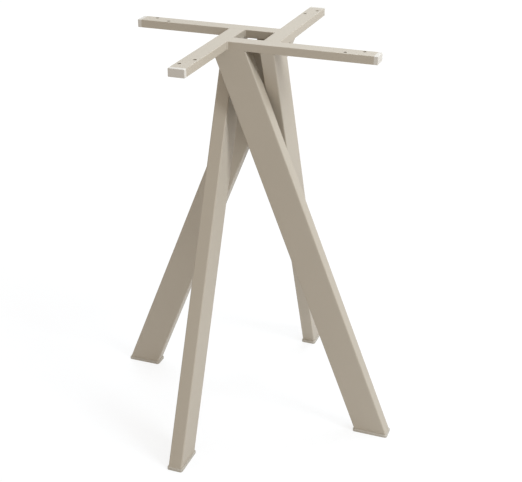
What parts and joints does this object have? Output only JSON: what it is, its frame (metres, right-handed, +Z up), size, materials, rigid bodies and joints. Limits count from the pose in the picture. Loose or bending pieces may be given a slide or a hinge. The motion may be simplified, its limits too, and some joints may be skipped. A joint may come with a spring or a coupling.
{
  "type": "table base",
  "caption": "Bar-height table base of aluminium tube: leaning legs in a pinwheel under a cross of flat tubes with screw holes, with plastic end caps and foot caps.",
  "frame": {"origin": "on the floor, under the middle of the square opening in the top cross", "axes": "+Z up; +X along the right arm, +Y along the rear arm; the front faces -Y"},
  "size_m": [0.8, 0.8, 1.01],
  "materials": {
    "powder_coat": "satin powder coat, taupe grey, over aluminium tube",
    "cap_plastic": "fine satin moulded plastic, pale taupe"
  },
  "bodies": {
    "root": {"arm_right": "powder_coat", "arm_rear": "powder_coat", "arm_left": "powder_coat", "arm_front": "powder_coat", "arm_cap_right": "cap_plastic", "arm_cap_rear": "cap_plastic", "arm_cap_left": "cap_plastic", "arm_cap_front": "cap_plastic", "leg_right": "powder_coat", "leg_rear": "powder_coat", "leg_left": "powder_coat", "leg_front": "powder_coat", "foot_cap_right": "cap_plastic", "foot_cap_rear": "cap_plastic", "foot_cap_left": "cap_plastic", "foot_cap_front": "cap_plastic"}
  },
  "joints": []
}
